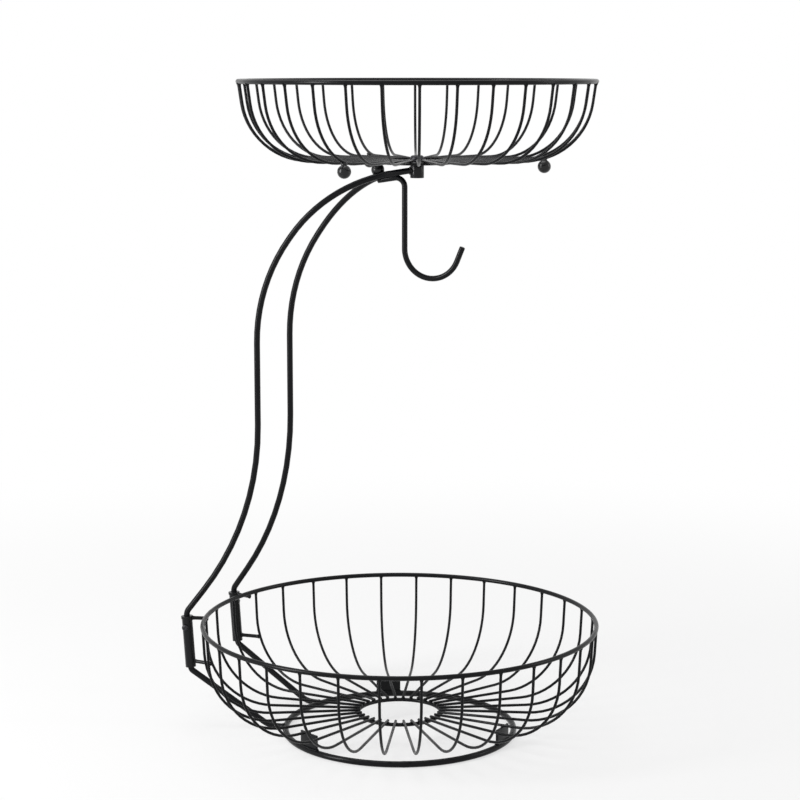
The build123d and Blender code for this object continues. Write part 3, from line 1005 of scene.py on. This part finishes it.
# Upper basket. Made as the lower one, smaller and shallower: a wire rim and bent ribs, which are welded at
# the middle on a round steel plate with a hole for the bolt.
upper_rim_radius = 0.1355
upper_rim_seam = math.radians(96.0)
upper_wall_lean = math.radians(8.0)
upper_knee_radius = 0.050
upper_rib_stop = 0.020
plate_hole = 0.0066
plate_edge = 0.0004
plate_bead = (0.0016, 0.0007, 0.0006)
plate_bead_across = rib_wire * 0.42
outer_bead_inset = 0.0016
inner_bead_radius = 0.0222
upper_rim_middle = middle_of("upper_rim")
upper_axis = (0.0, -collar_forward, 0.0)
upper_rim_shape = bmesh.new()
hoop(upper_rim_shape, upper_rim_middle, upper_rim_radius, rim_wire)
seam(upper_rim_shape, upper_rim_middle, upper_rim_radius, upper_rim_seam, rim_wire)
finished(upper_rim_shape, "upper_rim_wire", wire_coat, "coated_wire", "upper_basket", "upper_rim")
plate_low, plate_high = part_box("centre_plate")
plate_radius = (plate_high.x - plate_low.x) / 2
upper_floor_height = plate_high.z + rib_wire / 2
upper_ribs_shape = bmesh.new()
bowl_ribs(
    upper_ribs_shape,
    axis=upper_axis,
    rim_radius=upper_rim_radius,
    rim_height=upper_rim_middle.z,
    floor_height=upper_floor_height,
    lean=upper_wall_lean,
    knee_radius=upper_knee_radius,
    inner_radius=upper_rib_stop,
    first_angle=0.0,
)
finished(upper_ribs_shape, "upper_rib_wires", wire_coat, "coated_wire", "upper_basket", "upper_ribs")
plate_shape = bmesh.new()
plate_outline = [
    (plate_hole / 2, 0.0),
    (plate_radius, 0.0),
    (plate_radius, plate_high.z - plate_low.z),
    (plate_hole / 2, plate_high.z - plate_low.z),
]
turned(plate_shape, plate_outline, (0.0, -collar_forward, plate_low.z), steps=96, loop=True)
bmesh.ops.recalc_face_normals(plate_shape, faces=plate_shape.faces)
eased(plate_shape, plate_edge)
finished(plate_shape, "centre_plate_disc", plate_coat, "coated_plate", "upper_basket", "centre_plate")
plate_welds = bmesh.new()
for number in range(rib_count):
    crossing = number * rib_turn
    spoke = Vector((math.cos(crossing), math.sin(crossing), 0.0))
    side_way = Vector((-math.sin(crossing), math.cos(crossing), 0.0))
    for reach in (plate_radius - outer_bead_inset, inner_bead_radius):
        for side in (-1.0, 1.0):
            place = Vector(upper_axis) + spoke * reach + side_way * side * plate_bead_across
            place.z = plate_high.z
            bead(plate_welds, place, crossing, plate_bead)
finished(plate_welds, "centre_plate_welds", weld_coat, "coated_plate", "upper_basket")

# Ball feet. Steel balls on short necks, welded under three ribs just outside the flat floor, so that the
# upper basket also stands by itself.
foot_ball = 0.0102
foot_neck = 0.0044
foot_drop = 0.004
neck_weld = 0.0012
for name in ("foot_back", "foot_left", "foot_front"):
    ball_middle = middle_of(name)
    ball_middle.z = plate_high.z - foot_drop
    neck_angle = math.asin(foot_neck / foot_ball)
    outline = ball_outline(foot_ball, 18, math.pi - neck_angle * 1.12)
    neck_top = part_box(name)[1].z - ball_middle.z
    outline += [
        (foot_neck / 2 * 1.02, foot_ball / 2 * 0.94),
        (foot_neck / 2 * 0.97, foot_ball / 2 * 1.06),
        (foot_neck / 2 * 0.97, neck_top - neck_weld),
        (foot_neck / 2 * 1.08, neck_top - neck_weld / 2),
        (foot_neck / 2 * 0.86, neck_top),
        (0.0, neck_top),
    ]
    foot_shape = bmesh.new()
    turned(foot_shape, outline, ball_middle, steps=32)
    finished(foot_shape, name + "_ball", ball_coat, "gloss_ball", "upper_basket", name)

# Washer and bolt. A flat washer and a pan-head bolt of blackened steel with a cross recess, put down
# through the centre plate into the collar. The bolt has a real thread, seen when the basket is lifted.
washer_low, washer_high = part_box("washer")
washer_radius = (washer_high.x - washer_low.x) / 2
washer_thickness = washer_high.z - washer_low.z
washer_edge = 0.0002
washer_shape = bmesh.new()
washer_outline = [
    (plate_hole / 2, 0.0),
    (washer_radius, 0.0),
    (washer_radius, washer_thickness),
    (plate_hole / 2, washer_thickness),
]
turned(washer_shape, washer_outline, (0.0, -collar_forward, washer_low.z), steps=64, loop=True)
bmesh.ops.recalc_face_normals(washer_shape, faces=washer_shape.faces)
eased(washer_shape, washer_edge)
finished(washer_shape, "flat_washer", blackened_steel, "dark_fasteners", "upper_basket", "washer")

bolt_low, bolt_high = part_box("centre_bolt")
bolt_head = 0.011
bolt_head_height = bolt_high.z - washer_high.z
bolt_length = washer_high.z - bolt_low.z
cross_depth = 0.0020
cross_half_width = 0.00055
cross_half_length = 0.0030
thread_pitch = 0.001
thread_depth = 0.00055
thread_run_out = 0.002
core_taper = 0.0002
bolt_shape = bmesh.new()
pan_head(bolt_shape, bolt_head, bolt_head_height, 0.0)
bmesh.ops.recalc_face_normals(bolt_shape, faces=bolt_shape.faces)
recess(
    bolt_shape,
    bolt_head_height,
    cross_depth,
    (cross_half_width, cross_half_length),
    (cross_half_length, cross_half_width),
)
thread_turns = math.floor((bolt_length - thread_run_out) / thread_pitch)
root_radius = bolt_thread / 2 - thread_depth
bmesh.ops.create_cone(
    bolt_shape,
    cap_ends=True,
    segments=32,
    radius1=root_radius - core_taper,
    radius2=root_radius,
    depth=bolt_length,
    matrix=Matrix.Translation((0.0, 0.0, -bolt_length / 2)),
)
thread_base = root_radius - 0.0003
thread_crest = bolt_thread / 2 - 0.00006
base_half_width = 0.00042
crest_half_width = 0.00006
profile = [
    (thread_base, base_half_width),
    (thread_crest, crest_half_width),
    (thread_crest, -crest_half_width),
    (thread_base, -base_half_width),
]
crest_verts = [bolt_shape.verts.new((radius, 0.0, height - thread_pitch)) for radius, height in profile]
crest_edges = [bolt_shape.edges.new(pair) for pair in zip(crest_verts, crest_verts[1:] + crest_verts[:1])]
crest_face = bolt_shape.faces.new(crest_verts)
steps_a_turn = 24
bmesh.ops.spin(
    bolt_shape,
    geom=crest_verts + crest_edges + [crest_face],
    cent=(0.0, 0.0, 0.0),
    axis=(0.0, 0.0, 1.0),
    dvec=(0.0, 0.0, -thread_pitch / steps_a_turn),
    angle=2.0 * math.pi * thread_turns,
    steps=steps_a_turn * thread_turns,
)
bmesh.ops.translate(bolt_shape, vec=(0.0, -collar_forward, washer_high.z), verts=bolt_shape.verts)
finished(bolt_shape, "cross_recess_bolt", blackened_steel, "dark_fasteners", "bolt", "centre_bolt")
